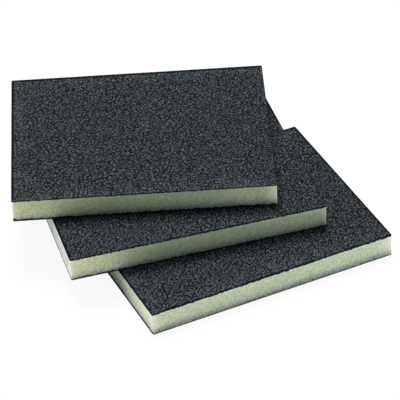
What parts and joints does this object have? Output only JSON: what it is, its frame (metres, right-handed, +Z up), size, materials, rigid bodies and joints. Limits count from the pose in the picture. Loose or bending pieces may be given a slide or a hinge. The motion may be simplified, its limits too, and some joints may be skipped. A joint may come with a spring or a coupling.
{
  "type": "sanding pad set",
  "caption": "Flexible rectangular foam sanding pads with dark abrasive grit on both faces and bare cut foam edges, lying loose on one another and fanned out.",
  "frame": {"origin": "centre of the lower pad's underside, on the surface that the pads lie on", "axes": "+Z up, +X along the lower pad's long side, +Y from its front edge to its back edge, towards which the other pads are fanned"},
  "size_m": [0.1528, 0.1653, 0.0345],
  "materials": {
    "foam": "cut open-cell polyurethane foam, pale yellow-green, matt",
    "grit": "medium abrasive grain in a charcoal size coat, rough",
    "bond": "cured resin, dark, matt"
  },
  "bodies": {
    "lower_pad": {"lower_pad_bottom_grit_coat": "grit", "lower_pad_bottom_bond_coat": "bond", "lower_pad_foam_core": "foam", "lower_pad_top_bond_coat": "bond", "lower_pad_top_grit_coat": "grit"},
    "middle_pad": {"middle_pad_bottom_grit_coat": "grit", "middle_pad_bottom_bond_coat": "bond", "middle_pad_foam_core": "foam", "middle_pad_top_bond_coat": "bond", "middle_pad_top_grit_coat": "grit"},
    "upper_pad": {"upper_pad_bottom_grit_coat": "grit", "upper_pad_bottom_bond_coat": "bond", "upper_pad_foam_core": "foam", "upper_pad_top_bond_coat": "bond", "upper_pad_top_grit_coat": "grit"}
  },
  "joints": [
    {"name": "middle_pad_lift", "type": "slide", "parent": "lower_pad", "child": "middle_pad", "axis": [0, 0, 1], "range_m": [0, 0.06]},
    {"name": "upper_pad_lift", "type": "slide", "parent": "middle_pad", "child": "upper_pad", "axis": [0, 0, 1], "range_m": [0, 0.06]}
  ]
}
